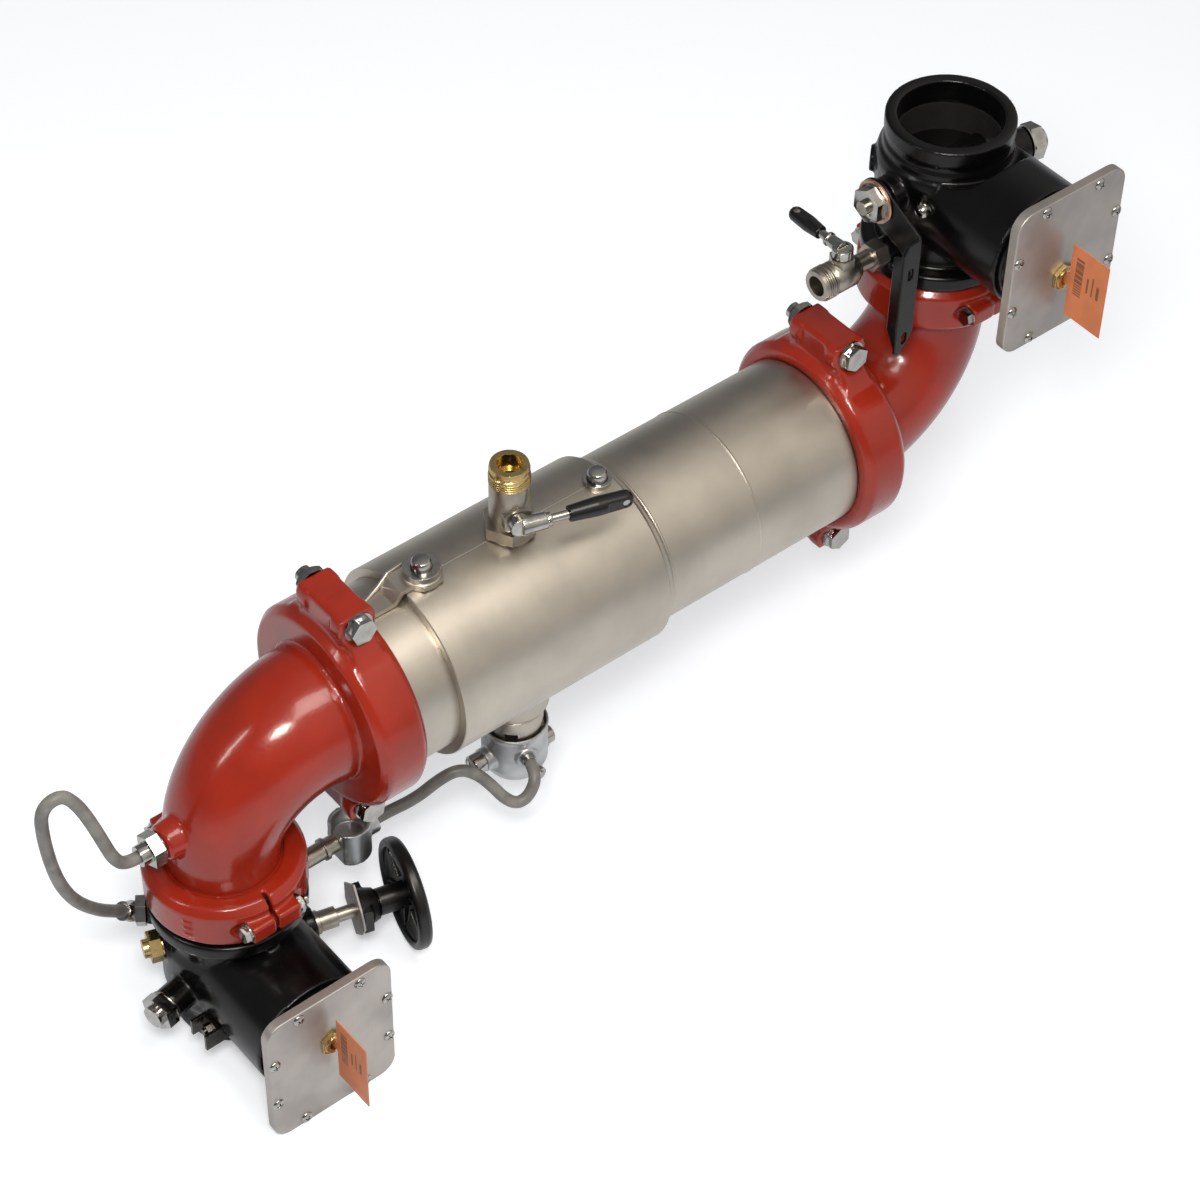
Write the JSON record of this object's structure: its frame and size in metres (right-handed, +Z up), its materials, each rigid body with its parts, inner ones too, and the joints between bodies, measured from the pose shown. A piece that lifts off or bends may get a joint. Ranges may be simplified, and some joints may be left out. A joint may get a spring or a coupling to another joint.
{
  "type": "reduced pressure backflow assembly",
  "caption": "Offset pipe assembly: horizontal steel body with check valves and relief valve between two elbows and grooved-end butterfly shutoff valves.",
  "frame": {"origin": "centre of the inlet end face of the lower shutoff valve", "axes": "+Z up and along both risers, +X from the inlet riser to the outlet riser along the body, -Y towards the square covers"},
  "size_m": [1.0447, 0.292, 0.605],
  "materials": {
    "stainless": "bead-blasted satin stainless steel",
    "red_enamel": "glossy red enamel on ductile iron",
    "black_epoxy": "semi-gloss black epoxy coat on ductile iron",
    "cover_steel": "fine satin steel sheet",
    "zinc": "bright zinc plate",
    "brass": "turned brass",
    "bronze": "nickel bronze, as cast and turned",
    "black_vinyl": "dipped black vinyl",
    "black_plastic": "moulded black plastic",
    "grey_hose": "grey rubber hose",
    "seal_rubber": "EPDM rubber",
    "orange_card": "matt orange plastic card",
    "relief_aluminium": "satin cast aluminium bronze",
    "spring_steel": "stainless spring wire"
  },
  "bodies": {
    "frame": {"body_tube": "stainless", "access_sleeve": "stainless", "sleeve_strap": "stainless", "sleeve_bolts": "zinc", "inlet_elbow": "red_enamel", "outlet_elbow": "red_enamel", "valve_coupling_halves": "red_enamel", "body_coupling_halves": "red_enamel", "coupling_gaskets": "seal_rubber", "coupling_bolts": "zinc", "inlet_valve_body": "black_epoxy", "outlet_valve_body": "black_epoxy", "seat_liners": "seal_rubber", "stem_glands": "bronze", "cover_plates": "cover_steel", "cover_gaskets": "seal_rubber", "cover_screws": "zinc", "cable_bushes": "brass", "tags": "orange_card", "inlet_brass_plug": "brass", "zinc_plugs": "zinc", "lock_clip": "zinc", "body_test_cock": "bronze", "outlet_test_cock": "bronze", "relief_neck": "stainless", "relief_cup": "relief_aluminium", "relief_cap": "relief_aluminium", "relief_plugs": "zinc", "relief_spring": "spring_steel", "check_seats": "black_plastic", "check_pins": "spring_steel", "check_springs": "spring_steel", "supervisory_switches": "black_plastic", "elbow_sensing_hose": "grey_hose", "relief_sensing_hose": "grey_hose", "line_nipples": "bronze", "sensing_tee": "relief_aluminium", "hose_fittings": "zinc"},
    "inlet_valve_drive": {"inlet_disc": "black_epoxy", "inlet_stem": "bronze", "position_flag": "cover_steel", "wheel_collar": "black_plastic", "handwheel": "black_plastic"},
    "outlet_valve_drive": {"outlet_disc": "black_epoxy", "outlet_stem": "bronze", "outlet_lever": "black_epoxy", "lever_nut": "zinc"},
    "body_cock_turn": {"body_cock_ball": "zinc", "body_cock_lever": "zinc", "body_cock_grip": "black_vinyl"},
    "outlet_cock_turn": {"outlet_cock_ball": "zinc", "outlet_cock_lever": "zinc", "outlet_cock_grip": "black_vinyl"},
    "first_check": {"first_check_clapper": "bronze"},
    "second_check": {"second_check_clapper": "bronze"},
    "relief_shuttle": {"relief_stem": "bronze", "relief_diaphragm": "seal_rubber"}
  },
  "joints": [
    {"name": "inlet_valve_turn", "type": "hinge", "parent": "frame", "child": "inlet_valve_drive", "pos_m": [0, 0, 0.0555], "axis": [0.9659, -0.2588, 0], "range_deg": [0, 90]},
    {"name": "outlet_valve_turn", "type": "hinge", "parent": "frame", "child": "outlet_valve_drive", "pos_m": [0.786, 0, 0.5345], "axis": [-1, 0, 0], "range_deg": [0, 90]},
    {"name": "body_cock_turn", "type": "hinge", "parent": "frame", "child": "body_cock_turn", "pos_m": [0.305, 0, 0.4102], "axis": [-0.2924, -0.9563, 0], "range_deg": [0, 90]},
    {"name": "outlet_cock_turn", "type": "hinge", "parent": "frame", "child": "outlet_cock_turn", "pos_m": [0.669, 0, 0.472], "axis": [0, 0, 1], "range_deg": [0, 90]},
    {"name": "first_check_swing", "type": "hinge", "parent": "frame", "child": "first_check", "pos_m": [0.243, 0, 0.355], "axis": [0, -1, 0], "range_deg": [0, 55], "stiffness_Nm_per_rad": 1.5},
    {"name": "second_check_swing", "type": "hinge", "parent": "frame", "child": "second_check", "pos_m": [0.497, 0, 0.355], "axis": [0, -1, 0], "range_deg": [0, 55], "stiffness_Nm_per_rad": 1.5},
    {"name": "relief_travel", "type": "slide", "parent": "frame", "child": "relief_shuttle", "axis": [0, 0, -1], "range_m": [0, 0.008], "deforming": ["relief_spring"]}
  ]
}
